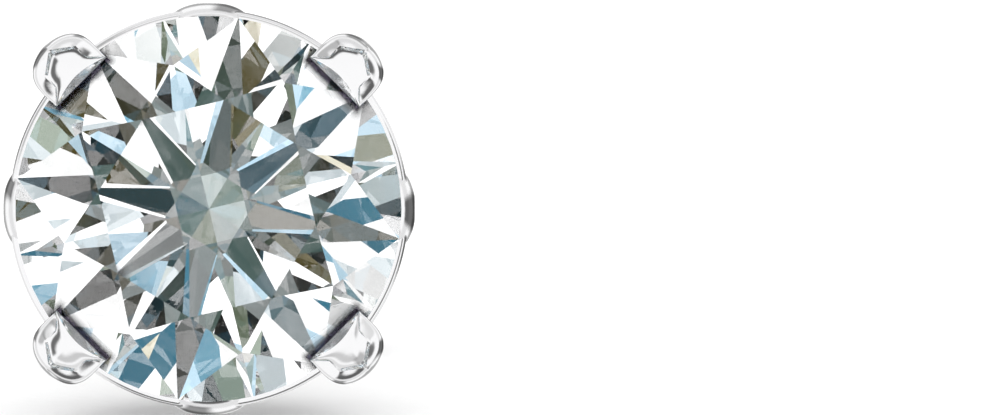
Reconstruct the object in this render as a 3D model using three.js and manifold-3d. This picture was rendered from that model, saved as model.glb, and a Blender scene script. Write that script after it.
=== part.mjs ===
// A stud earring: a round brilliant-cut stone held by four fishtail prongs in a white gold basket, on a straight
// ear post with its butterfly friction nut. It lies on its side, as it does on a table, on one boss of the
// basket and the straight edge of the nut. Millimetres, +Z up, with the stone's table facing -Y.
import * as THREE from "three";
import { mergeVertices } from "three/addons/utils/BufferGeometryUtils.js";
import Module from "manifold-3d";

const wasm = await Module();
wasm.setup();

// Every piece is drawn in the stud's own frame: +Z out of the table, Z = 0 at the middle of the girdle.

// Stone
const stoneDiameter = 6.5;
const tableDiameter = 3.7;
const crownAngle = 34.5;
const pavilionAngle = 40.8;
const girdleHeight = 0.2;
const starShare = 0.5; // of the way from the table's edge to the girdle
const lowerHalfShare = 0.78; // of the way from the girdle to the culet
const stoneTurn = 36; // degrees from +X to a corner of the table
const mainFacets = 8;
const girdleSides = 64;

// Prongs
const prongCount = 4;
const firstProng = 45; // degrees from +X
const prongWidth = 1.13;
const prongInnerShare = 0.95; // width of a prong's inner face, as a share of its full width
const prongOverhang = 0.22; // of the tips over the stone's edge
const prongReach = 0.64; // of the prong's back beyond the stone's edge
const prongTop = 0.98; // above the middle of the girdle, before the dish is cut
const footDepth = 0.7; // radially, where the prong meets the base
const footInset = 0.06; // of a prong's foot inside the base's edge
const noseShare = 0.69; // depth of a prong's round back, as a share of half its width
const dishRadius = 1.1; // of the hollow filed into each tip
const dishInnerHeight = 0.47; // of the dish's floor at the tips
const dishOuterHeight = 0.84; // of the dish's floor at the prong's back

// Gallery rail under the girdle, and its bosses
const railWidth = 0.32;
const railHeight = 0.52;
const railProud = 0.12; // beyond the stone's edge
const railDrop = 0.3; // from the middle of the girdle to the rail's top
const bossDiameter = 1.4;
const bossProud = 0.225; // beyond the stone's edge
const bossWall = 0.04; // straight side below a boss's dome
const bossRise = 0.356; // of the full dome, before its top is flattened
const bossFaceShare = 0.3; // flat of a boss, as a share of its diameter
const bossDrop = 0.74; // from the middle of the girdle to a boss's centre

// Base and post
const basketDepth = 3.95; // from the middle of the girdle to the back of the base
const baseDiameter = 3.9;
const baseThickness = 0.5;
const baseRound = 0.14;
const postDiameter = 0.84;
const postLength = 10;
const postFillet = 0.14;
const tipRound = 0.26;
const notchFromTip = 2;
const notchLength = 0.5;
const notchDepth = 0.06;

// Friction nut
const lobeGap = 4.9; // between the base and the nut
const nutWidth = 4.7;
const nutHeight = 5.2;
const nutCorner = 1;
const nutThickness = 0.28;
const curlDiameter = 2.5;
const curlTurn = 262; // degrees that each curl winds back
const curlSlit = 0.12; // beside the root of each curl
const nutShoulder = 0.18; // straight edge from a slit to the corner
const collarDiameter = 1.7;
const collarHeight = 0.2;

// Clearances
const seatGap = 0.03; // between the stone and the metal
const postGap = 0.04; // between the post and the nut

const stoneRadius = stoneDiameter / 2;
const tableRadius = tableDiameter / 2;
const postRadius = postDiameter / 2;
const baseBack = -basketDepth;
const nutFront = baseBack - lobeGap;
const curlBand = nutHeight - 2 * (nutCorner + nutShoulder + curlSlit);

const degrees = THREE.MathUtils.degToRad;
const mix = THREE.MathUtils.lerp;

// A point at a radius, an angle in degrees and a height in the stud's frame.
function at(radius, angle, height) {
  return new THREE.Vector3(radius * Math.cos(degrees(angle)), radius * Math.sin(degrees(angle)), height);
}

function solidOf(geometry) {
  geometry.deleteAttribute("normal");
  geometry.deleteAttribute("uv");
  const merged = mergeVertices(geometry, 1e-4);
  return new wasm.Manifold(
    new wasm.Mesh({
      numProp: 3,
      vertProperties: new Float32Array(merged.attributes.position.array),
      triVerts: new Uint32Array(merged.index.array),
    }),
  );
}

function meshOf(name, solid, material) {
  const { vertProperties, triVerts } = solid.getMesh();
  const geometry = new THREE.BufferGeometry();
  geometry.setAttribute("position", new THREE.BufferAttribute(vertProperties, 3));
  geometry.setIndex(new THREE.BufferAttribute(triVerts, 1));
  geometry.computeVertexNormals();
  const mesh = new THREE.Mesh(geometry, material);
  mesh.name = name;
  return mesh;
}

// A solid turned about the stud's axis from a profile of [radius, height] pairs.
function turned(profile, sides) {
  const points = profile.map(([radius, height]) => new THREE.Vector2(radius, height));
  return solidOf(new THREE.LatheGeometry(points, sides).rotateX(Math.PI / 2));
}

// The [radius, height] points of a rounded corner, from one angle to another about its centre.
function corner(radius, height, round, from, to, steps = 2) {
  return Array.from({ length: steps + 1 }, (_, i) => {
    const angle = degrees(mix(from, to, i / steps));
    return [radius + round * Math.cos(angle), height + round * Math.sin(angle)];
  });
}

// A solid skinned over rings of points, closed by a fan at each end.
function lofted(rings) {
  const size = rings[0].length;
  const points = [...rings.flat()];
  const faces = [];
  for (let r = 0; r < rings.length - 1; r++) {
    for (let i = 0; i < size; i++) {
      const here = r * size + i;
      const next = r * size + ((i + 1) % size);
      faces.push(here, next, next + size, here, next + size, here + size);
    }
  }
  const last = (rings.length - 1) * size;
  for (let i = 1; i < size - 1; i++) {
    faces.push(0, i + 1, i, last, last + i, last + i + 1);
  }
  const geometry = new THREE.BufferGeometry().setFromPoints(points);
  geometry.setIndex(faces);
  return solidOf(geometry);
}

// Each facet of the brilliant as the plane through three of its corners, facing out.
function stoneFacets() {
  const step = 360 / mainFacets;
  const half = step / 2;
  const tableEdge = tableRadius * Math.cos(degrees(half));
  const starRadius = mix(tableEdge, stoneRadius, starShare);
  const lowerRadius = mix(stoneRadius, 0, lowerHalfShare);
  const crownEdge = girdleHeight / 2;
  const crownHeight = (radius) => crownEdge + (stoneRadius - radius) * Math.tan(degrees(crownAngle));
  const pavilionHeight = (radius) => -crownEdge - (stoneRadius - radius) * Math.tan(degrees(pavilionAngle));
  const culet = at(0, 0, pavilionHeight(0));
  const planes = [];
  const facet = (...corners) => {
    const plane = new THREE.Plane().setFromCoplanarPoints(...corners);
    planes.push(plane.constant > 0 ? plane.negate() : plane);
  };
  const table = (k) => at(tableRadius, stoneTurn + step * k, crownHeight(tableRadius));
  facet(table(0), table(1), table(2));
  for (let k = 0; k < mainFacets; k++) {
    const angle = stoneTurn + step * k;
    const star = at(starRadius, angle + half, crownHeight(starRadius * Math.cos(degrees(half))));
    const lower = at(lowerRadius, angle + half, pavilionHeight(lowerRadius * Math.cos(degrees(half))));
    const edge = (turn, height) => at(stoneRadius, angle + turn, height);
    facet(table(k), star, edge(0, crownEdge));
    facet(table(k), star, table(k + 1));
    facet(star, edge(0, crownEdge), edge(half, crownEdge));
    facet(star, edge(half, crownEdge), edge(step, crownEdge));
    facet(culet, lower, edge(0, -crownEdge));
    facet(lower, edge(0, -crownEdge), edge(half, -crownEdge));
    facet(lower, edge(half, -crownEdge), edge(step, -crownEdge));
  }
  return planes;
}

// The stone, ground facet by facet from a round blank. A margin makes it larger all over, to cut its seat.
function brilliant(margin = 0) {
  const radius = stoneRadius + margin;
  const blank = new THREE.CylinderGeometry(radius, radius, 2 * stoneDiameter, girdleSides);
  blank.rotateX(Math.PI / 2).rotateZ(degrees(stoneTurn));
  return stoneFacets().reduce(
    (stone, plane) => stone.trimByPlane(plane.normal.clone().negate().toArray(), plane.constant - margin),
    solidOf(blank),
  );
}

// Sections of a prong from its foot to its top. Heights are shares of the basket's depth below the girdle and of
// the prong's top above it, inner and outer of the way from the foot to the tip, and width of the prong's.
const prongSections = [
  { height: -0.97, inner: 0, outer: 0, width: 0.62 },
  { height: -0.83, inner: 0.2, outer: 0.2, width: 0.64 },
  { height: -0.6, inner: 0.48, outer: 0.47, width: 0.7 },
  { height: -0.36, inner: 0.74, outer: 0.72, width: 0.79 },
  { height: -0.18, inner: 0.9, outer: 0.885, width: 0.9 },
  { height: -0.06, inner: 0.96, outer: 0.97, width: 0.97 },
  { height: 0.05, inner: 1, outer: 1, width: 1 },
  { height: 0.36, inner: 1, outer: 0.993, width: 0.99 },
  { height: 0.47, inner: 1, outer: 0.985, width: 0.96 },
  { height: 0.56, inner: 1, outer: 0.975, width: 0.8 },
  { height: 0.66, inner: 1, outer: 0.965, width: 0.62 },
  { height: 0.78, inner: 1, outer: 0.952, width: 0.55 },
  { height: 0.9, inner: 1, outer: 0.932, width: 0.34 },
  { height: 1, inner: 1, outer: 0.9, width: 0.2 },
];
const noseSteps = 10;

// One prong on +X: a D-shaped blade with its round back out, and a hollow filed along the top of its tip.
function prong() {
  const footOuter = baseDiameter / 2 - footInset;
  const footInner = footOuter - footDepth;
  const tipInner = stoneRadius - prongOverhang;
  const tipOuter = stoneRadius + prongReach;
  const rings = prongSections.map((section) => {
    const height = section.height * (section.height < 0 ? basketDepth : prongTop);
    const inner = mix(footInner, tipInner, section.inner);
    const outer = mix(footOuter, tipOuter, section.outer);
    const half = (section.width * prongWidth) / 2;
    const nose = noseShare * half;
    const back = Array.from({ length: noseSteps + 1 }, (_, i) => {
      const angle = degrees(mix(-90, 90, i / noseSteps));
      return new THREE.Vector3(outer - nose + nose * Math.cos(angle), half * Math.sin(angle), height);
    });
    const edge = prongInnerShare * half;
    return [new THREE.Vector3(inner, -edge, height), ...back, new THREE.Vector3(inner, edge, height)];
  });
  const run = tipOuter - tipInner;
  const slope = Math.atan2(dishOuterHeight - dishInnerHeight, run);
  const dish = new THREE.CylinderGeometry(dishRadius, dishRadius, 4 * run, 48).rotateZ(Math.PI / 2);
  dish.translate(0, 0, dishRadius).rotateY(-slope).translate(tipInner, 0, dishInnerHeight);
  return lofted(rings).subtract(solidOf(dish));
}

// The rail: a plain ring with rounded edges, whose inside the seat then cuts to the stone's slope.
function rail() {
  const outer = stoneRadius + railProud;
  const round = railWidth / 3;
  const top = -railDrop;
  const bottom = top - railHeight;
  const profile = [
    ...corner(outer - railWidth + round, top - round, round, 90, 180),
    ...corner(outer - railWidth + round, bottom + round, round, 180, 270),
    ...corner(outer - round, bottom + round, round, 270, 360),
    ...corner(outer - round, top - round, round, 0, 90),
  ];
  return turned([...profile, profile[0]], girdleSides);
}

// A boss on +X: a round button standing on the rail, domed up to a small flat face.
function boss() {
  const radius = bossDiameter / 2;
  const faceAngle = THREE.MathUtils.radToDeg(Math.acos(bossFaceShare));
  const dome = corner(0, 0, 1, 0, faceAngle, 6).map(([x, y]) => [x * radius, bossWall + y * bossRise]);
  const face = dome.at(-1)[1];
  const button = turned([[0, 0], [radius, 0], ...dome, [0, face]], 24);
  return button.rotate([0, 90, 0]).translate([stoneRadius + bossProud - face, 0, -bossDrop]);
}

// The base and the post, turned as one: a disc that closes the basket, and a round wire with a notch and a round tip.
function baseAndPost() {
  const base = baseDiameter / 2;
  const front = baseBack + baseThickness;
  const tip = baseBack - postLength;
  const notch = tip + notchFromTip;
  const waist = postRadius - notchDepth;
  return turned(
    [
      [0, tip],
      ...corner(postRadius - tipRound, tip + tipRound, tipRound, 270, 360),
      [postRadius, notch - notchLength / 2],
      [waist, notch - notchLength / 4],
      [waist, notch + notchLength / 4],
      [postRadius, notch + notchLength / 2],
      ...corner(postRadius + postFillet, baseBack - postFillet, postFillet, 180, 90),
      ...corner(base - baseRound, baseBack + baseRound, baseRound, 270, 360),
      ...corner(base - baseRound, front - baseRound, baseRound, 0, 90),
      [0, front],
    ],
    32,
  );
}

function around(solid, count, first) {
  return Array.from({ length: count }, (_, k) => solid.rotate([0, 0, first + (360 / count) * k]));
}

function setting() {
  const prongs = around(prong(), prongCount, firstProng);
  const bosses = around(boss(), prongCount, firstProng - 180 / prongCount);
  return [rail(), ...prongs, ...bosses].reduce((whole, piece) => whole.add(piece), baseAndPost()).subtract(brilliant(seatGap));
}

function extruded(shape, depth, segments) {
  return solidOf(new THREE.ExtrudeGeometry(shape, { depth, bevelEnabled: false, curveSegments: segments }));
}

// Where a curl's centre lies, so that the strip's end comes to the post.
function curlCentre() {
  const middle = (curlDiameter - nutThickness) / 2;
  return postRadius + postGap + nutThickness / 2 - middle * Math.cos(degrees(90 - curlTurn));
}

// The nut's plate, its front at Z = 0: a rounded rectangle, slit beside the two strips that curl back from it.
function nutPlate() {
  const [x, y, round] = [nutWidth / 2, nutHeight / 2, nutCorner];
  const [root, slit] = [curlCentre(), curlBand / 2 + curlSlit];
  const outline = new THREE.Shape();
  outline.moveTo(x, slit);
  outline.absarc(x - round, y - round, round, 0, Math.PI / 2);
  outline.absarc(round - x, y - round, round, Math.PI / 2, Math.PI);
  outline.lineTo(-x, slit).lineTo(-root, slit).lineTo(-root, -slit).lineTo(-x, -slit);
  outline.absarc(round - x, round - y, round, Math.PI, 1.5 * Math.PI);
  outline.absarc(x - round, round - y, round, 1.5 * Math.PI, 2 * Math.PI);
  outline.lineTo(x, -slit).lineTo(root, -slit).lineTo(root, slit);
  return extruded(outline, nutThickness, 8).translate([0, 0, -nutThickness]);
}

// One curl of the nut: the strip runs out along the plate, rolls back and round, and ends against the post.
function nutCurl(side) {
  const outer = curlDiameter / 2;
  const inner = outer - nutThickness;
  const end = degrees(90 - curlTurn);
  const centre = curlCentre();
  const steps = 26;
  const arc = (radius) =>
    Array.from({ length: steps + 1 }, (_, i) => {
      const angle = mix(Math.PI / 2, end, i / steps);
      return [centre + radius * Math.cos(angle), radius * Math.sin(angle) - outer];
    });
  const strip = [[centre - outer / 2, 0], ...arc(outer), ...arc(inner).reverse(), [centre - outer / 2, -nutThickness]];
  const shape = new THREE.Shape(strip.map(([x, z]) => new THREE.Vector2(side * x, z)));
  return extruded(shape, curlBand, 1).rotate([90, 0, 0]).translate([0, curlBand / 2, 0]);
}

function nut() {
  const collar = turned(
    [
      [0, -nutThickness / 2],
      [collarDiameter / 2, -nutThickness / 2],
      [collarDiameter / 2, 0],
      [(collarDiameter / 2 + postRadius) / 2, collarHeight],
      [0, collarHeight],
    ],
    32,
  );
  const hole = solidOf(
    new THREE.CylinderGeometry(postRadius + postGap, postRadius + postGap, nutHeight, 32).rotateX(Math.PI / 2),
  );
  return nutPlate()
    .add(nutCurl(1))
    .add(nutCurl(-1))
    .add(collar)
    .subtract(hole)
    .translate([0, 0, nutFront - collarHeight]);
}

// At rest the stud leans back until a boss and the nut's lower edge both meet the table.
function restTilt() {
  const bossBottom = stoneRadius + bossProud;
  const bossBack = -bossDrop - (bossFaceShare * bossDiameter) / 2;
  const nutBack = nutFront - collarHeight - nutThickness;
  return Math.atan2(bossBottom - nutHeight / 2, bossBack - nutBack);
}

const whiteGold = new THREE.MeshStandardMaterial({ color: 0xe4e4e6, roughness: 0.08, metalness: 1 });
const diamond = new THREE.MeshStandardMaterial({ color: 0xf2f7fa, roughness: 0, metalness: 0 });

const stud = new THREE.Group();
stud.add(
  meshOf("round_stone", brilliant(), diamond),
  meshOf("prong_setting", setting(), whiteGold),
  meshOf("friction_nut", nut(), whiteGold),
);
stud.rotation.x = Math.PI / 2 - restTilt();
const box = new THREE.Box3().setFromObject(stud, true);
stud.position.y = -(box.min.y + box.max.y) / 2;
stud.position.z = -box.min.z;

const earring = new THREE.Group();
earring.add(stud);

export default earring;
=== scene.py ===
import math

import bmesh
import bpy
from mathutils import Matrix, Vector


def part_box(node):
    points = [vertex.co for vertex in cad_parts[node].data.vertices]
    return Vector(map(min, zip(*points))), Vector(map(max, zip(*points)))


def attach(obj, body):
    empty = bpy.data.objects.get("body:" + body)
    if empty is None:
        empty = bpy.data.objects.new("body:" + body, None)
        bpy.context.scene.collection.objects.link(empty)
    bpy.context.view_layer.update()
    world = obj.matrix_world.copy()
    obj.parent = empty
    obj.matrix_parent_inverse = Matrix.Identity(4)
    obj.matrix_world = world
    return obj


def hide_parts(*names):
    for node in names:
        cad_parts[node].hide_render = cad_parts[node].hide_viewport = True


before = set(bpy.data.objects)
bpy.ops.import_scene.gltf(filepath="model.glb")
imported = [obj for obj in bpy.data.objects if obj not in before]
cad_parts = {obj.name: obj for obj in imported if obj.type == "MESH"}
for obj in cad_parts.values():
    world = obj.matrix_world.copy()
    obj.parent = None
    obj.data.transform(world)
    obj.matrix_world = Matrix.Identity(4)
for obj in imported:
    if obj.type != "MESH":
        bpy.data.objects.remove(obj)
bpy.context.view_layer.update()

# How the stud lies
# Every piece is modelled upright in the stud's own frame, in millimetres: +Z points out of the stone's
# table, with zero at the middle of the girdle. It is then laid down where the stud rests, on one boss of
# the basket and the edge of the nut.
STONE_RADIUS = 3.25
CULET_DEPTH = 2.905
BOSS_REACH = STONE_RADIUS + 0.225
BOSS_RADIUS = 0.7
BOSS_FACE = 0.3 * BOSS_RADIUS  # the small flat that its dome ends in
BOSS_DROP = 0.74
NUT_HEIGHT = 5.2
NUT_THICKNESS = 0.28
NUT_FRONT = -9.05  # the plate's own front, behind its collar
MILLIMETRE = 0.001

tilt = math.atan2(BOSS_REACH - NUT_HEIGHT / 2, NUT_THICKNESS - NUT_FRONT - BOSS_DROP - BOSS_FACE)
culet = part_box("round_stone")[1].y
girdle_centre = Vector(
    (
        0,
        culet - CULET_DEPTH * math.cos(tilt) * MILLIMETRE,
        (BOSS_REACH * math.cos(tilt) + (BOSS_DROP + BOSS_FACE) * math.sin(tilt)) * MILLIMETRE,
    )
)
stud_frame = Matrix.Translation(girdle_centre) @ Matrix.Rotation(math.pi / 2 - tilt, 4, "X")


def only(piece):
    bpy.ops.object.select_all(action="DESELECT")
    piece.select_set(True)
    bpy.context.view_layer.objects.active = piece


def lay_down(piece):
    """Puts a piece modelled in the stud's own frame where the stud lies, with its place in its mesh."""
    piece.matrix_world = stud_frame @ Matrix.Scale(MILLIMETRE, 4)
    only(piece)
    bpy.ops.object.transform_apply(location=True, rotation=True, scale=True)


# The camera
# It looks square at the table through a long lens. The frame has the photo's shape, with the stud to the
# left of its middle as it is there.
FRAME_WIDTH, FRAME_HEIGHT = 1000, 415
GIRDLE_PIXELS = 385.6
STONE_PIXEL = Vector((208.4, 208.8))
CAMERA_DISTANCE = 250

pixel = 2 * STONE_RADIUS / GIRDLE_PIXELS
bpy.ops.object.camera_add()
camera = bpy.context.object
camera.name = "table_camera"
camera.data.lens = camera.data.sensor_width * CAMERA_DISTANCE / (FRAME_WIDTH * pixel)
camera.data.clip_start, camera.data.clip_end = 0.01, 10
aside = (FRAME_WIDTH / 2 - STONE_PIXEL.x) * pixel
above = (STONE_PIXEL.y - FRAME_HEIGHT / 2) * pixel
camera.matrix_world = stud_frame @ Matrix.Translation(Vector((aside, above, CAMERA_DISTANCE)) * MILLIMETRE)
bpy.context.scene.camera = camera


# The floor
# A sheet of matt white paper, pressed from pulp and left uncoated, that the stud lies on. It is cut to a
# disc wide enough for every view.
def linear(hex_colour):
    """An sRGB hex colour as linear red, green, blue and alpha."""
    shares = [int(hex_colour[i : i + 2], 16) / 255 for i in (1, 3, 5)]
    return [s / 12.92 if s <= 0.04045 else ((s + 0.055) / 1.055) ** 2.4 for s in shares] + [1]


def add(tree, kind, inputs=None, **settings):
    """A node of that kind, with its settings, and its inputs set to values or linked from sockets."""
    node = tree.nodes.new(kind)
    for name, value in settings.items():
        setattr(node, name, value)
    for name, value in (inputs or {}).items():
        if isinstance(value, bpy.types.NodeSocket):
            tree.links.new(value, node.inputs[name])
        else:
            node.inputs[name].default_value = value
    return node


def material(name, **inputs):
    """A material with one Principled shader. Returns it with its tree and shader."""
    made = bpy.data.materials.new(name)
    made.use_nodes = True
    shader = made.node_tree.nodes["Principled BSDF"]
    for socket, value in inputs.items():
        shader.inputs[socket.replace("_", " ")].default_value = value
    return made, made.node_tree, shader


SPECK_CONTRAST = {"From Min": 0.3, "From Max": 0.7}  # of the noise that draws the specks


def grain(tree, size, low, high):
    """Soft specks of a real size in millimetres, as a value between low and high."""
    place = add(tree, "ShaderNodeTexCoord").outputs["Object"]
    specks = {"Vector": place, "Scale": 1 / (size * MILLIMETRE)}
    specks = add(tree, "ShaderNodeTexNoise", specks).outputs[0]
    spread = {"Value": specks, **SPECK_CONTRAST, "To Min": low, "To Max": high}
    return add(tree, "ShaderNodeMapRange", spread).outputs[0]


def roughen(tree, shader, speck, roughness, pit, depth):
    """Varies the roughness in specks of one size, and pits the surface in specks of another."""
    tree.links.new(grain(tree, speck, *roughness), shader.inputs["Roughness"])
    pits = add(tree, "ShaderNodeBump", {"Height": grain(tree, pit, 0, 1), "Distance": depth * MILLIMETRE})
    tree.links.new(pits.outputs["Normal"], shader.inputs["Normal"])


FLOOR_RADIUS = 2.0  # in metres
FLOOR_SIDES = 64
bpy.ops.mesh.primitive_circle_add(vertices=FLOOR_SIDES, radius=FLOOR_RADIUS, fill_type="NGON")
floor = bpy.context.object
floor.name = "paper_floor"
# Uncoated white paper: quite matt, with a faint relief of pressed fibres.
paper, tree, shader = material("uncoated_white_paper", Base_Color=linear("#fafafa"))
roughen(tree, shader, speck=1.5, roughness=(0.85, 0.95), pit=0.3, depth=0.006)
floor.data.materials.append(paper)

# The light
# A white tent all round. The polished metal mirrors the grey cards and dark strips that hang in it. The
# stone gathers a broken pattern of light from the whole room, darker straight out from its table and in a
# ring round that.
CARDS = {  # degrees off the table's normal, degrees round it from +X, and the share of light each takes
    "above": (60, 88, 50, 130, 0.25),
    "below": (62, 90, -122, -48, 0.88),
    "at_the_right": (40, 63, -42, 24, 0.85),
    "at_the_upper_left": (42, 80, 118, 165, 0.5),
    "over_the_lens": (26, 48, 40, 140, 0.4),
    "low_all_round": (94, 122, -200, 200, 0.2),
    "behind": (146, 166, -200, 200, 0.6),
    "strip_at_the_right": (96, 175, -20, 14, 0.85),
    "strip_above": (112, 175, 60, 86, 0.65),
    "strip_at_the_left": (108, 175, 140, 170, 0.75),
    "strip_below": (112, 175, -118, -90, 0.7),
}
CARD_BLUR = 6
TENT_BRIGHTNESS = 1.08
FLOOR_BRIGHTNESS = 1.35
PATCHES = (  # where each colour starts, of all the patches of light that the stone gathers
    (0.0, "#ffffff"),
    (0.51, "#bcc6ca"),
    (0.60, "#b2cede"),
    (0.66, "#cfc9b4"),
    (0.69, "#98a497"),
    (0.74, "#6fa0b6"),
    (0.79, "#2f6478"),
    (0.83, "#56614f"),
    (0.90, "#0e2226"),
    (0.95, "#46401f"),
    (0.994, "#b89a5c"),
)
PATCH_SCALE = 6.0
PATCH_SEED = 33.0
SHADING_SCALE = 5.0
SHADING_DETAIL = 1.0
SHADING_CONTRAST = {"From Min": 0.35, "From Max": 0.65}
PATCH_DIMMEST, PATCH_BRIGHTEST = 1.4, 1.9
SHADOW_RINGS = (  # from and to, in degrees off the table's normal, then colour and depth
    (40, 50, "#5c7470", 0.7),
    (-90, 20, "#3a5250", 0.85),
    (-90, 10, "#221f12", 0.92),
)
SHADOW_BLUR = 1
SHADOW_DARKEST, SHADOW_LIGHTEST = 0.15, 2.2  # of those colours, from patch to patch
SHEEN = "#3c3c3c"  # what the facets mirror from their outside
FACET_BOUNCES = 20  # so that light finds its way out of the stone

world = bpy.data.worlds.new("light_tent")
bpy.context.scene.world = world
world.use_nodes = True
sky = world.node_tree
sky.nodes.clear()
direction = add(
    sky,
    "ShaderNodeVectorRotate",
    {"Vector": add(sky, "ShaderNodeTexCoord").outputs["Generated"], "Angle": tilt - math.pi / 2},
    rotation_type="X_AXIS",
).outputs["Vector"]
along = add(sky, "ShaderNodeSeparateXYZ", {"Vector": direction}).outputs
angle_off = add(sky, "ShaderNodeMath", {0: along["Z"]}, operation="ARCCOSINE").outputs[0]
angle_round = add(sky, "ShaderNodeMath", {0: along["Y"], 1: along["X"]}, operation="ARCTAN2").outputs[0]
off_axis = add(sky, "ShaderNodeMath", {0: angle_off}, operation="DEGREES").outputs[0]
round_axis = add(sky, "ShaderNodeMath", {0: angle_round}, operation="DEGREES").outputs[0]


def band(tree, value, start, stop, blur):
    """One between start and stop, and nothing outside them, with blurred edges."""
    rise = {"Value": value, "From Min": start - blur, "From Max": start + blur}
    fall = {"Value": value, "From Min": stop - blur, "From Max": stop + blur, "To Min": 1.0, "To Max": 0.0}
    rise = add(tree, "ShaderNodeMapRange", rise, interpolation_type="SMOOTHSTEP").outputs[0]
    fall = add(tree, "ShaderNodeMapRange", fall, interpolation_type="SMOOTHSTEP").outputs[0]
    return add(tree, "ShaderNodeMath", {0: rise, 1: fall}, operation="MULTIPLY").outputs[0]


tent = TENT_BRIGHTNESS
for off_from, off_to, round_from, round_to, depth in CARDS.values():
    off_card = band(sky, off_axis, off_from, off_to, CARD_BLUR)
    round_card = band(sky, round_axis, round_from, round_to, CARD_BLUR)
    card = add(sky, "ShaderNodeMath", {0: off_card, 1: round_card}, operation="MULTIPLY").outputs[0]
    card = add(sky, "ShaderNodeMapRange", {"Value": card, "To Min": 1.0, "To Max": 1 - depth}).outputs[0]
    tent = add(sky, "ShaderNodeMath", {0: tent, 1: card}, operation="MULTIPLY").outputs[0]

patches = {"Vector": direction, "W": PATCH_SEED, "Scale": PATCH_SCALE}
patches = add(sky, "ShaderNodeTexVoronoi", patches, voronoi_dimensions="4D").outputs["Color"]
choice = add(sky, "ShaderNodeSeparateXYZ", {"Vector": patches}).outputs
palette = add(sky, "ShaderNodeValToRGB", {"Fac": choice["X"]})
palette.color_ramp.interpolation = "CONSTANT"
stops = palette.color_ramp.elements
ready = len(stops)
for k, (start, colour) in enumerate(PATCHES):
    stop = stops[k] if k < ready else stops.new(start)
    stop.position = start
    stop.color = linear(colour)
shading = {"Vector": direction, "Scale": SHADING_SCALE, "Detail": SHADING_DETAIL}
shading = add(sky, "ShaderNodeTexNoise", shading).outputs[0]
shading = {"Value": shading, **SHADING_CONTRAST, "To Min": PATCH_DIMMEST, "To Max": PATCH_BRIGHTEST}
shading = add(sky, "ShaderNodeMapRange", shading, interpolation_type="SMOOTHSTEP").outputs[0]
gathered = {0: palette.outputs["Color"], "Scale": shading}
gathered = add(sky, "ShaderNodeVectorMath", gathered, operation="SCALE").outputs[0]
tone = {"Value": choice["Y"], "To Min": SHADOW_DARKEST, "To Max": SHADOW_LIGHTEST}
tone = add(sky, "ShaderNodeMapRange", tone).outputs[0]
for off_from, off_to, colour, depth in SHADOW_RINGS:
    shade = band(sky, off_axis, off_from, off_to, SHADOW_BLUR)
    shade = add(sky, "ShaderNodeMapRange", {"Value": shade, "To Max": depth}).outputs[0]
    toned = {0: linear(colour)[:3], "Scale": tone}
    toned = add(sky, "ShaderNodeVectorMath", toned, operation="SCALE").outputs[0]
    shade = {"Factor": shade, "A": gathered, "B": toned}
    gathered = add(sky, "ShaderNodeMix", shade, data_type="RGBA").outputs["Result"]

ray = add(sky, "ShaderNodeLightPath").outputs
in_stone = {"Factor": ray["Is Transmission Ray"], "A": linear(SHEEN), "B": gathered}
in_stone = add(sky, "ShaderNodeMix", in_stone, data_type="RGBA").outputs["Result"]
plain = {"Factor": ray["Is Glossy Ray"], "A": FLOOR_BRIGHTNESS, "B": tent}
plain = add(sky, "ShaderNodeMix", plain, data_type="FLOAT").outputs["Result"]
seen = {"Factor": ray["Is Singular Ray"], "A": plain, "B": in_stone}
seen = add(sky, "ShaderNodeMix", seen, data_type="RGBA").outputs["Result"]
background = add(sky, "ShaderNodeBackground", {"Color": seen})
add(sky, "ShaderNodeOutputWorld", {"Surface": background.outputs["Background"]})

floor.visible_glossy = False
floor.visible_transmission = False
bpy.context.scene.view_settings.view_transform = "Standard"
cycles = bpy.context.scene.cycles
cycles.max_bounces = cycles.transmission_bounces = cycles.glossy_bounces = FACET_BOUNCES

# The stone
# A diamond cut as a round brilliant: each facet is ground flat and polished on a lap, and the girdle is
# left as a thin ground band. Its look is all refraction, so its facets are true planes that meet in sharp
# edges.
GIRDLE_HALF = 0.1
TABLE_RADIUS = 1.85
CROWN_ANGLE = math.radians(34.5)
PAVILION_ANGLE = math.radians(40.8)
STAR_SHARE = 0.5
LOWER_HALF_SHARE = 0.78
STONE_TURN = 36
GIRDLE_SIDES = 64
BLANK_HEIGHT = 4 * STONE_RADIUS
DIAMOND_IOR = 2.417
MAINS = 8  # main facets round the crown, and as many round the pavilion
STEP = 360 / MAINS  # degrees from one of them to the next
UPRIGHT = 0.01  # a face whose normal has less height than this belongs to the girdle
CUT_TOLERANCE = 1e-5
MERGE_DISTANCE = 1e-4
# Painted shade: the colour that the crown darkens to beside each prong tip, standing in for its shadow.
TIP_SHADE = "#08060c"
TIP_SHADE_START, TIP_SHADE_END = 2.84, 3.8  # out from the stone's axis
TIP_SHADE_HALF, TIP_SHADE_BLUR = 0.69, 0.1


def at(radius, degrees, height):
    angle = math.radians(degrees)
    return Vector((radius * math.cos(angle), radius * math.sin(angle), height))


def crown_height(radius):
    return GIRDLE_HALF + (STONE_RADIUS - radius) * math.tan(CROWN_ANGLE)


def pavilion_height(radius):
    return -GIRDLE_HALF - (STONE_RADIUS - radius) * math.tan(PAVILION_ANGLE)


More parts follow.
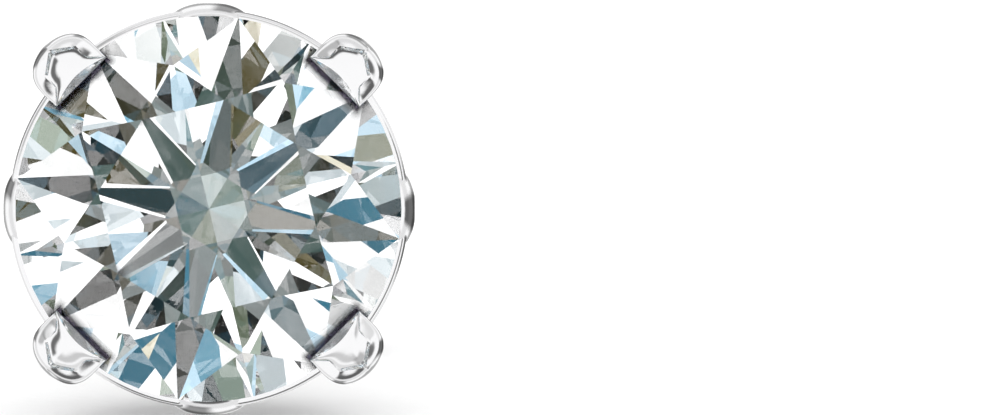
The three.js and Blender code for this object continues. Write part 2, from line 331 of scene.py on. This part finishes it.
def stone_facets():
    """Three corners of each facet of the brilliant."""
    apothem = math.cos(math.radians(STEP / 2))
    star_radius = TABLE_RADIUS * apothem + STAR_SHARE * (STONE_RADIUS - TABLE_RADIUS * apothem)
    lower_radius = STONE_RADIUS * (1 - LOWER_HALF_SHARE)
    table = [at(TABLE_RADIUS, STONE_TURN + STEP * k, crown_height(TABLE_RADIUS)) for k in range(MAINS + 1)]
    tip = at(0, 0, pavilion_height(0))
    yield table[0], table[1], table[2]
    for k in range(MAINS):
        angle = STONE_TURN + STEP * k
        middle = angle + STEP / 2
        star = at(star_radius, middle, crown_height(star_radius * apothem))
        lower = at(lower_radius, middle, pavilion_height(lower_radius * apothem))
        above_girdle = [at(STONE_RADIUS, a, GIRDLE_HALF) for a in (angle, middle, angle + STEP)]
        below_girdle = [at(STONE_RADIUS, a, -GIRDLE_HALF) for a in (angle, middle, angle + STEP)]
        yield table[k], star, above_girdle[0]
        yield table[k], star, table[k + 1]
        yield star, above_girdle[0], above_girdle[1]
        yield star, above_girdle[1], above_girdle[2]
        yield tip, lower, below_girdle[0]
        yield lower, below_girdle[0], below_girdle[1]
        yield lower, below_girdle[1], below_girdle[2]


def brilliant(name, margin=0.0):
    """A round blank ground down facet by facet, and larger by a margin where it is to cut the seat."""
    bpy.ops.object.select_all(action="DESELECT")
    bpy.ops.mesh.primitive_cylinder_add(
        vertices=GIRDLE_SIDES,
        radius=STONE_RADIUS + margin,
        depth=BLANK_HEIGHT,
        rotation=(0, 0, math.radians(STONE_TURN)),
    )
    stone = bpy.context.object
    stone.name = name
    bpy.ops.object.transform_apply(rotation=True)
    bpy.ops.object.mode_set(mode="EDIT")
    for first, second, third in stone_facets():
        normal = (second - first).cross(third - first).normalized()
        if normal.dot(first) < 0:
            normal.negate()
        bpy.ops.mesh.select_all(action="SELECT")
        bpy.ops.mesh.bisect(
            plane_co=first + normal * margin,
            plane_no=normal,
            use_fill=True,
            clear_outer=True,
            threshold=CUT_TOLERANCE,
        )
    bpy.ops.mesh.select_all(action="SELECT")
    bpy.ops.mesh.remove_doubles(threshold=MERGE_DISTANCE)
    bpy.ops.mesh.normals_make_consistent(inside=False)
    bpy.ops.object.mode_set(mode="OBJECT")
    bpy.ops.object.shade_flat()
    return stone


stone = brilliant("brilliant_stone")
# Diamond polished on an iron lap: clear, with flat mirror facets. Painted shade: the crown beside each prong
# is darkened in the stone's own colour, standing in for the prong's shadow.
diamond, tree, shader = material("polished_diamond", Roughness=0.0, IOR=DIAMOND_IOR, Transmission_Weight=1.0)
place = {0: add(tree, "ShaderNodeTexCoord").outputs["Object"], 1: girdle_centre}
place = add(tree, "ShaderNodeVectorMath", place, operation="SUBTRACT").outputs[0]
place = {"Vector": place, "Angle": tilt - math.pi / 2}
place = add(tree, "ShaderNodeVectorRotate", place, rotation_type="X_AXIS").outputs[0]
place = add(tree, "ShaderNodeVectorMath", {0: place}, operation="ABSOLUTE").outputs[0]
to_prong = Vector((1, 1, 0)).normalized() / MILLIMETRE
past_prong = Vector((1, -1, 0)).normalized() / MILLIMETRE
out = add(tree, "ShaderNodeVectorMath", {0: place, 1: to_prong}, operation="DOT_PRODUCT")
past = add(tree, "ShaderNodeVectorMath", {0: place, 1: past_prong}, operation="DOT_PRODUCT")
shaded_out = band(tree, out.outputs["Value"], TIP_SHADE_START, TIP_SHADE_END, TIP_SHADE_BLUR)
shaded_aside = band(tree, past.outputs["Value"], -TIP_SHADE_HALF, TIP_SHADE_HALF, TIP_SHADE_BLUR)
shaded = add(tree, "ShaderNodeMath", {0: shaded_out, 1: shaded_aside}, operation="MULTIPLY").outputs[0]
# Painted shade: the stone's colour goes from clear to dark towards each prong tip.
painted_shade = {"Factor": shaded, "A": linear("#ffffff"), "B": linear(TIP_SHADE)}
painted_shade = add(tree, "ShaderNodeMix", painted_shade, data_type="RGBA").outputs["Result"]
tree.links.new(painted_shade, shader.inputs["Base Color"])
# The girdle is left as it was ground against another diamond: frosted, with fine pits.
frosted, tree, shader = material("bruted_diamond", IOR=DIAMOND_IOR, Transmission_Weight=1.0)
roughen(tree, shader, speck=0.1, roughness=(0.35, 0.5), pit=0.04, depth=0.004)
stone.data.materials.append(diamond)
stone.data.materials.append(frosted)
for face in stone.data.polygons:
    face.material_index = 1 if abs(face.normal.z) < UPRIGHT else 0
lay_down(stone)
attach(stone, "root")
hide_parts("round_stone")

# The basket, with the ear post
# White gold, plated with rhodium and polished: four fishtail prongs filed to a hollow between two points, a
# rail under the girdle with four round bosses, a base, and the post. All is cast or soldered into one solid.
SEAT_GAP = 0.03
SMOOTHED_BELOW = math.radians(35)  # of turn from face to face, above which an edge stays crisp
PRONG_RING = {  # the D-shaped blade: share of the way from inner to outer face, and share of the half width
    "lip": (0.0, 0.0),
    "tip": (0.0, 1.03),
    "side": (0.26, 1.05),
    "shoulder": (0.58, 1.07),
    "back": (0.86, 0.76),
    "corner": (1.0, 0.0),
}
PRONG_SECTIONS = (  # height, inner face, outer face and half width
    (-3.80, 1.20, 1.90, 0.34),
    (-3.30, 1.55, 2.30, 0.35),
    (-2.37, 2.08, 2.84, 0.39),
    (-1.42, 2.55, 3.36, 0.44),
    (-0.71, 2.85, 3.70, 0.50),
    (-0.24, 2.97, 3.88, 0.545),
    (0.08, 3.00, 3.94, 0.565),
    (0.32, 3.00, 3.93, 0.57),
)
PRONG_EDGE = {  # the turn from the wall to the flanks of the top: radius, across and height
    "lip": (3.02, 0.0, 0.40),
    "tip": (3.01, 0.595, 0.43),
    "side": (3.25, 0.605, 0.50),
    "shoulder": (3.53, 0.60, 0.585),
    "back": (3.775, 0.42, 0.62),
    "corner": (3.885, 0.0, 0.64),
}
PRONG_RIDGE = {  # the filed edge round the hollow: radius, across and height
    "lip": (3.21, 0.0, 0.53),
    "tip": (3.03, 0.578, 0.49),
    "side": (3.262, 0.366, 0.62),
    "shoulder": (3.506, 0.368, 0.70),
    "back": (3.64, 0.184, 0.73),
    "corner": (3.774, 0.0, 0.75),
}
HOLLOW_RIM = 0.12  # of the way in from the filed edge to the middle, where the hollow's steep side ends
HOLLOW_MIDDLE = 3.42
RIM_DROP = {"lip": 0.0, "tip": 0.02, "side": 0.05, "shoulder": 0.07, "back": 0.07, "corner": 0.08}
HOLLOW_FLOOR = ((3.38, 0.0, 0.52), (3.57, 0.0, 0.545))
RING_ORDER = ("lip", "tip", "side", "shoulder", "back", "corner", "back", "shoulder", "side", "tip")
RING_SIZE = len(RING_ORDER)
LIP, TIP, SIDE, SHOULDER, _, CORNER = range(RING_SIZE // 2 + 1)
PRONG_SMOOTHING = 3
PRONGS, FIRST_PRONG = 4, 45  # how many, and the first one's angle in degrees from +X


def last_ring(piece, points):
    """Moves the ring that was extruded last to its points, which are given for one side of the prong."""
    mesh = bmesh.from_edit_mesh(piece.data)
    mesh.verts.ensure_lookup_table()
    for k, vertex in enumerate(mesh.verts[-RING_SIZE:]):
        out, across, height = points[RING_ORDER[k]]
        vertex.co = out, across if k <= RING_SIZE // 2 else -across, height
    bmesh.update_edit_mesh(piece.data)


def split(mesh, one, other):
    """Splits the face that two corners share by an edge between them, and returns the edge."""
    face = next(f for f in one.link_faces if f in other.link_faces)
    bmesh.utils.face_split(face, one, other)
    return mesh.edges.get((one, other))


def hollow(piece):
    """Sinks the face inside the filed edge to a smooth trough along the prong."""
    mesh = bmesh.from_edit_mesh(piece.data)
    mesh.verts.ensure_lookup_table()
    rim = mesh.verts[-RING_SIZE:]
    spine = [rim[LIP]]
    for place, floor_point in zip((SIDE, SHOULDER), HOLLOW_FLOOR):
        across = split(mesh, rim[place], rim[-place])
        middle = bmesh.utils.edge_split(across, rim[place], 0.5)[1]
        middle.co = floor_point
        spine.append(middle)
    spine.append(rim[CORNER])
    for one, other in zip(spine, spine[1:]):
        split(mesh, one, other)
    bmesh.update_edit_mesh(piece.data)


def crease(piece, line):
    """Sharpens the edges along a line of corners, given by their numbers in the mesh."""
    mesh = bmesh.from_edit_mesh(piece.data)
    layer = mesh.edges.layers.float.get("crease_edge") or mesh.edges.layers.float.new("crease_edge")
    mesh.verts.ensure_lookup_table()
    for one, other in zip(line, line[1:]):
        mesh.edges.get((mesh.verts[one], mesh.verts[other]))[layer] = 1
    bmesh.update_edit_mesh(piece.data)


def pin(piece, corners):
    """Keeps corners of the filed edge in place, with their twins across the prong. The last has no twin."""
    mesh = bmesh.from_edit_mesh(piece.data)
    layer = mesh.verts.layers.float.new("crease_vert")
    mesh.verts.ensure_lookup_table()
    middle = corners[-1]
    for corner in corners:
        mesh.verts[corner][layer] = 1
        mesh.verts[2 * middle - corner][layer] = 1
    bmesh.update_edit_mesh(piece.data)


def prong():
    """One prong towards +X, drawn out ring by ring from its foot, with its top filed to a hollow."""
    bpy.ops.object.select_all(action="DESELECT")
    bpy.ops.mesh.primitive_circle_add(vertices=RING_SIZE, fill_type="NGON")
    piece = bpy.context.object
    bpy.ops.object.mode_set(mode="EDIT")
    for k, (height, inner, outer, half) in enumerate(PRONG_SECTIONS):
        if k:
            bpy.ops.mesh.extrude_region_move()
        ring = {
            name: (inner + out * (outer - inner), across * half, height)
            for name, (out, across) in PRONG_RING.items()
        }
        last_ring(piece, ring)
    for ring in (PRONG_EDGE, PRONG_RIDGE):
        bpy.ops.mesh.extrude_region_move()
        last_ring(piece, ring)
    bpy.ops.mesh.extrude_region_move()
    rim = {
        name: (out + HOLLOW_RIM * (HOLLOW_MIDDLE - out), across * (1 - HOLLOW_RIM), height - RIM_DROP[name])
        for name, (out, across, height) in PRONG_RIDGE.items()
    }
    last_ring(piece, rim)
    hollow(piece)
    top = RING_SIZE * (len(PRONG_SECTIONS) + 1)
    crease(piece, [*range(top, top + RING_SIZE), top])
    for tip in (TIP, RING_SIZE - TIP):
        crease(piece, range(tip, top + RING_SIZE, RING_SIZE))
    crease(piece, (top + CORNER, top + CORNER - RING_SIZE))
    crease(piece, (top - 1, top - RING_SIZE + LIP, top - RING_SIZE + TIP))
    pin(piece, [top + k for k in (TIP, SIDE, SHOULDER, CORNER)])
    bpy.ops.mesh.select_all(action="SELECT")
    bpy.ops.mesh.normals_make_consistent(inside=False)
    bpy.ops.object.mode_set(mode="OBJECT")
    bpy.ops.object.modifier_add(type="SUBSURF")
    piece.modifiers[-1].levels = piece.modifiers[-1].render_levels = PRONG_SMOOTHING
    bpy.ops.object.modifier_apply(modifier=piece.modifiers[-1].name)
    return piece


def copies(piece, count, first):
    """Copies of a piece at even angles round the stud's axis, each with its own mesh, joined."""
    made = [piece]
    for k in range(1, count):
        twin = piece.copy()
        twin.data = piece.data.copy()
        bpy.context.collection.objects.link(twin)
        made.append(twin)
    for k, each in enumerate(made):
        each.rotation_euler.z = math.radians(first + 360 / count * k)
        only(each)
        bpy.ops.object.transform_apply(rotation=True)
    for each in made:
        each.select_set(True)
    bpy.ops.object.join()
    return bpy.context.object


def combine(piece, other, operation="UNION"):
    """Joins another solid to the piece, or cuts it away."""
    only(piece)
    bpy.ops.object.modifier_add(type="BOOLEAN")
    modifier = piece.modifiers[-1]
    modifier.operation = operation
    modifier.solver = "EXACT"
    modifier.object = other
    bpy.ops.object.modifier_apply(modifier=modifier.name)
    bpy.data.objects.remove(other)


RAIL_WIDTH, RAIL_HEIGHT = 0.32, 0.52
RAIL_REACH = STONE_RADIUS + 0.12
RAIL_TOP = -0.3
RAIL_ROUND = RAIL_WIDTH / 3
ROUNDING = 6  # steps in each rounded corner
RAIL_STEPS = 160


def rail():
    """A ring swept from a rectangle with rounded corners."""
    bpy.ops.object.select_all(action="DESELECT")
    bpy.ops.mesh.primitive_plane_add(size=1, rotation=(math.pi / 2, 0, 0))
    ring = bpy.context.object
    ring.scale = (RAIL_WIDTH, RAIL_HEIGHT, 1)
    ring.location = (RAIL_REACH - RAIL_WIDTH / 2, 0, RAIL_TOP - RAIL_HEIGHT / 2)
    bpy.ops.object.transform_apply(location=True, rotation=True, scale=True)
    bpy.ops.object.mode_set(mode="EDIT")
    bpy.ops.mesh.select_all(action="SELECT")
    bpy.ops.mesh.bevel(offset=RAIL_ROUND, segments=ROUNDING, affect="VERTICES")
    bpy.ops.mesh.select_all(action="SELECT")
    bpy.ops.mesh.delete(type="ONLY_FACE")
    bpy.ops.mesh.select_all(action="SELECT")
    bpy.ops.mesh.spin(steps=RAIL_STEPS, angle=2 * math.pi, center=(0, 0, 0), axis=(0, 0, 1))
    bpy.ops.mesh.select_all(action="SELECT")
    bpy.ops.mesh.remove_doubles(threshold=MERGE_DISTANCE)
    bpy.ops.mesh.normals_make_consistent(inside=False)
    bpy.ops.object.mode_set(mode="OBJECT")
    return ring


def turned(profile, sides):
    """A solid turned ring by ring along a profile of radius and height."""
    bpy.ops.object.select_all(action="DESELECT")
    bpy.ops.mesh.primitive_circle_add(
        vertices=sides, radius=profile[0][0], fill_type="NGON", location=(0, 0, profile[0][1])
    )
    solid = bpy.context.object
    bpy.ops.object.transform_apply(location=True)
    bpy.ops.object.mode_set(mode="EDIT")
    for (before, low), (after, high) in zip(profile, profile[1:]):
        bpy.ops.mesh.extrude_region_move(TRANSFORM_OT_translate={"value": (0, 0, high - low)})
        bpy.ops.transform.resize(value=(after / before, after / before, 1), center_override=(0, 0, high))
    bpy.ops.mesh.select_all(action="SELECT")
    bpy.ops.mesh.normals_make_consistent(inside=False)
    bpy.ops.object.mode_set(mode="OBJECT")
    return solid


def arc(radius, height, across, rise, start, stop, steps=ROUNDING):
    """Points of a profile round a centre, from one angle to another in degrees."""
    angles = [math.radians(start + (stop - start) * k / steps) for k in range(steps + 1)]
    return [(radius + across * math.cos(a), height + rise * math.sin(a)) for a in angles]


BOSS_WALL = 0.04
BOSS_RISE = 0.356
BOSS_SIDES = 64
DOME_STEPS = 12
BOSSES, FIRST_BOSS = 4, 0


def boss():
    """A button domed up to a small flat, standing on the rail towards +X."""
    face_angle = math.degrees(math.acos(BOSS_FACE / BOSS_RADIUS))
    dome = arc(0, BOSS_WALL, BOSS_RADIUS, BOSS_RISE, 0, face_angle, DOME_STEPS)
    button = turned([(BOSS_RADIUS, 0), *dome], BOSS_SIDES)
    button.rotation_euler.y = math.pi / 2
    button.location = (BOSS_REACH - dome[-1][1], 0, -BOSS_DROP)
    bpy.ops.object.transform_apply(location=True, rotation=True)
    return button


BASE_RADIUS = 1.95
BASE_BACK, BASE_FRONT = -3.95, -3.45
BASE_ROUND = 0.14
POST_RADIUS = 0.42
POST_LENGTH = 10
POST_END = BASE_BACK - POST_LENGTH
POST_FILLET = 0.14
POST_ROUND, POST_ROUND_STEPS = 0.26, 10
NOTCH_MIDDLE = POST_END + 2
NOTCH_HALF = 0.25
NOTCH_DEPTH = 0.06
NOTCH_STEPS = 8  # on each side of its middle
POST_SIDES = 96


def base_and_post():
    """The disc that closes the basket, and the wire with its friction notch and rounded end."""
    notch = [
        (POST_RADIUS - NOTCH_DEPTH * (1 + math.cos(math.pi * share)) / 2, NOTCH_MIDDLE + NOTCH_HALF * share)
        for share in (k / NOTCH_STEPS for k in range(-NOTCH_STEPS, NOTCH_STEPS + 1))
    ]
    flat = POST_RADIUS - POST_ROUND
    profile = [
        *arc(flat, POST_END + POST_ROUND, POST_ROUND, POST_ROUND, 270, 360, POST_ROUND_STEPS),
        *notch,
        *arc(POST_RADIUS + POST_FILLET, BASE_BACK - POST_FILLET, POST_FILLET, POST_FILLET, 180, 90),
        *arc(BASE_RADIUS - BASE_ROUND, BASE_BACK + BASE_ROUND, BASE_ROUND, BASE_ROUND, 270, 360),
        *arc(BASE_RADIUS - BASE_ROUND, BASE_FRONT - BASE_ROUND, BASE_ROUND, BASE_ROUND, 0, 90),
    ]
    return turned(profile, POST_SIDES)


basket = base_and_post()
basket.name = "basket_and_post"
combine(basket, copies(prong(), PRONGS, FIRST_PRONG))
combine(basket, rail())
combine(basket, copies(boss(), BOSSES, FIRST_BOSS))
combine(basket, brilliant("seat", SEAT_GAP), "DIFFERENCE")
only(basket)
bpy.ops.object.mode_set(mode="EDIT")
bpy.ops.mesh.select_all(action="SELECT")
bpy.ops.mesh.remove_doubles(threshold=MERGE_DISTANCE)
bpy.ops.object.mode_set(mode="OBJECT")
bpy.ops.object.shade_smooth_by_angle(angle=SMOOTHED_BELOW)
# White gold buffed on a felt wheel and rhodium plated: a bright neutral mirror, a little cloudy in places,
# with marks of the buff. They are drawn coarser than the real ones, which are too fine to see.
polished, tree, shader = material("rhodium_plated_white_gold", Base_Color=linear("#f2f2f3"), Metallic=1.0)
roughen(tree, shader, speck=0.5, roughness=(0.08, 0.15), pit=0.12, depth=0.0006)
basket.data.materials.append(polished)
lay_down(basket)
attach(basket, "root")
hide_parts("prong_setting")

# The friction nut
# The clasp pushed onto the post: a plate stamped with two strips, which are rolled back into springs that
# press on the post from both sides, and a collar drawn up round its hole. White gold, plated and tumbled.
NUT_WIDTH = 4.7
NUT_CORNER, NUT_CORNER_STEPS = 1.0, 16
CURL_RADIUS = 1.25
CURL_CENTRE = 1.699
CURL_TURN = 262
CURL_STEPS = 72
CURL_HALF = 1.3
SLIT = 0.12
HOLE_RADIUS = 0.46
COLLAR_RADIUS, COLLAR_TOP, COLLAR_HEIGHT = 0.85, 0.635, 0.2
NUT_SIDES = 96
NUT_EDGE, NUT_EDGE_STEPS = 0.035, 3
NUT_EDGE_ANGLE = math.radians(50)  # edges sharper than this are rounded
NEAR = 0.005  # how close to a place the middle of an edge or face is, to be picked
OVERCUT = 1  # how far a cut runs past the metal


def box(low, high):
    """A block between two corners."""
    bpy.ops.object.select_all(action="DESELECT")
    bpy.ops.mesh.primitive_cube_add(size=1, location=[(a + b) / 2 for a, b in zip(low, high)])
    block = bpy.context.object
    block.scale = [b - a for a, b in zip(low, high)]
    bpy.ops.object.transform_apply(location=True, scale=True)
    return block


def pick(piece, kind, test):
    """Selects, in edit mode, the edges or faces whose middle passes a test."""
    bpy.ops.mesh.select_mode(type=kind)
    bpy.ops.mesh.select_all(action="DESELECT")
    mesh = bmesh.from_edit_mesh(piece.data)
    for item in mesh.edges if kind == "EDGE" else mesh.faces:
        item.select_set(test(sum((v.co for v in item.verts), Vector()) / len(item.verts)))
    mesh.select_flush_mode()
    bmesh.update_edit_mesh(piece.data)


def nut_strip():
    """The plate with its front at zero, and both strips rolled back from it."""
    plate = box((-NUT_WIDTH / 2, -NUT_HEIGHT / 2, -NUT_THICKNESS), (NUT_WIDTH / 2, NUT_HEIGHT / 2, 0))
    bpy.ops.object.mode_set(mode="EDIT")
    corner = Vector((NUT_WIDTH / 2, NUT_HEIGHT / 2))
    pick(plate, "EDGE", lambda middle: (Vector((abs(middle.x), abs(middle.y))) - corner).length < NEAR)
    bpy.ops.mesh.bevel(offset=NUT_CORNER, segments=NUT_CORNER_STEPS, affect="EDGES")
    bpy.ops.object.mode_set(mode="OBJECT")
    for side in (1, -1):
        left, right = sorted((side * CURL_CENTRE, side * NUT_WIDTH))
        notch = box((left, -CURL_HALF - SLIT, -OVERCUT), (right, CURL_HALF + SLIT, OVERCUT))
        combine(plate, notch, "DIFFERENCE")
    bpy.ops.object.mode_set(mode="EDIT")
    for side in (1, -1):
        bpy.ops.mesh.select_all(action="SELECT")
        bpy.ops.mesh.bisect(plane_co=(0, side * CURL_HALF, 0), plane_no=(0, 1, 0), threshold=CUT_TOLERANCE)
    for side in (1, -1):
        root = side * CURL_CENTRE
        pick(plate, "FACE", lambda middle: abs(middle.x - root) < NEAR and abs(middle.y) < CURL_HALF)
        bpy.ops.mesh.spin(
            steps=CURL_STEPS,
            angle=math.radians(CURL_TURN),
            center=(root, 0, -CURL_RADIUS),
            axis=(0, -side, 0),
        )
    bpy.ops.mesh.select_all(action="SELECT")
    bpy.ops.mesh.remove_doubles(threshold=MERGE_DISTANCE)
    bpy.ops.mesh.normals_make_consistent(inside=False)
    bpy.ops.object.mode_set(mode="OBJECT")
    return plate


nut = nut_strip()
nut.name = "butterfly_nut"
sweep = arc(COLLAR_RADIUS, COLLAR_HEIGHT, COLLAR_RADIUS - COLLAR_TOP, COLLAR_HEIGHT, 270, 180)
combine(nut, turned([(COLLAR_RADIUS, -NUT_THICKNESS / 2), *sweep], NUT_SIDES))
hole = [(HOLE_RADIUS, -NUT_THICKNESS - OVERCUT), (HOLE_RADIUS, COLLAR_HEIGHT + OVERCUT)]
combine(nut, turned(hole, NUT_SIDES), "DIFFERENCE")
nut.location.z = NUT_FRONT
only(nut)
bpy.ops.object.transform_apply(location=True)
bpy.ops.object.modifier_add(type="BEVEL")
nut.modifiers[-1].width = NUT_EDGE
nut.modifiers[-1].segments = NUT_EDGE_STEPS
nut.modifiers[-1].angle_limit = NUT_EDGE_ANGLE
bpy.ops.object.modifier_apply(modifier=nut.modifiers[-1].name)
bpy.ops.object.shade_smooth_by_angle(angle=SMOOTHED_BELOW)
# The same metal, stamped from rolled sheet and tumbled in steel shot: softer, with shallow dents that the
# shot leaves.
tumbled, tree, shader = material("tumbled_white_gold", Base_Color=linear("#ececed"), Metallic=1.0)
roughen(tree, shader, speck=0.6, roughness=(0.18, 0.26), pit=0.25, depth=0.0012)
nut.data.materials.append(tumbled)
lay_down(nut)
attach(nut, "root")
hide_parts("friction_nut")
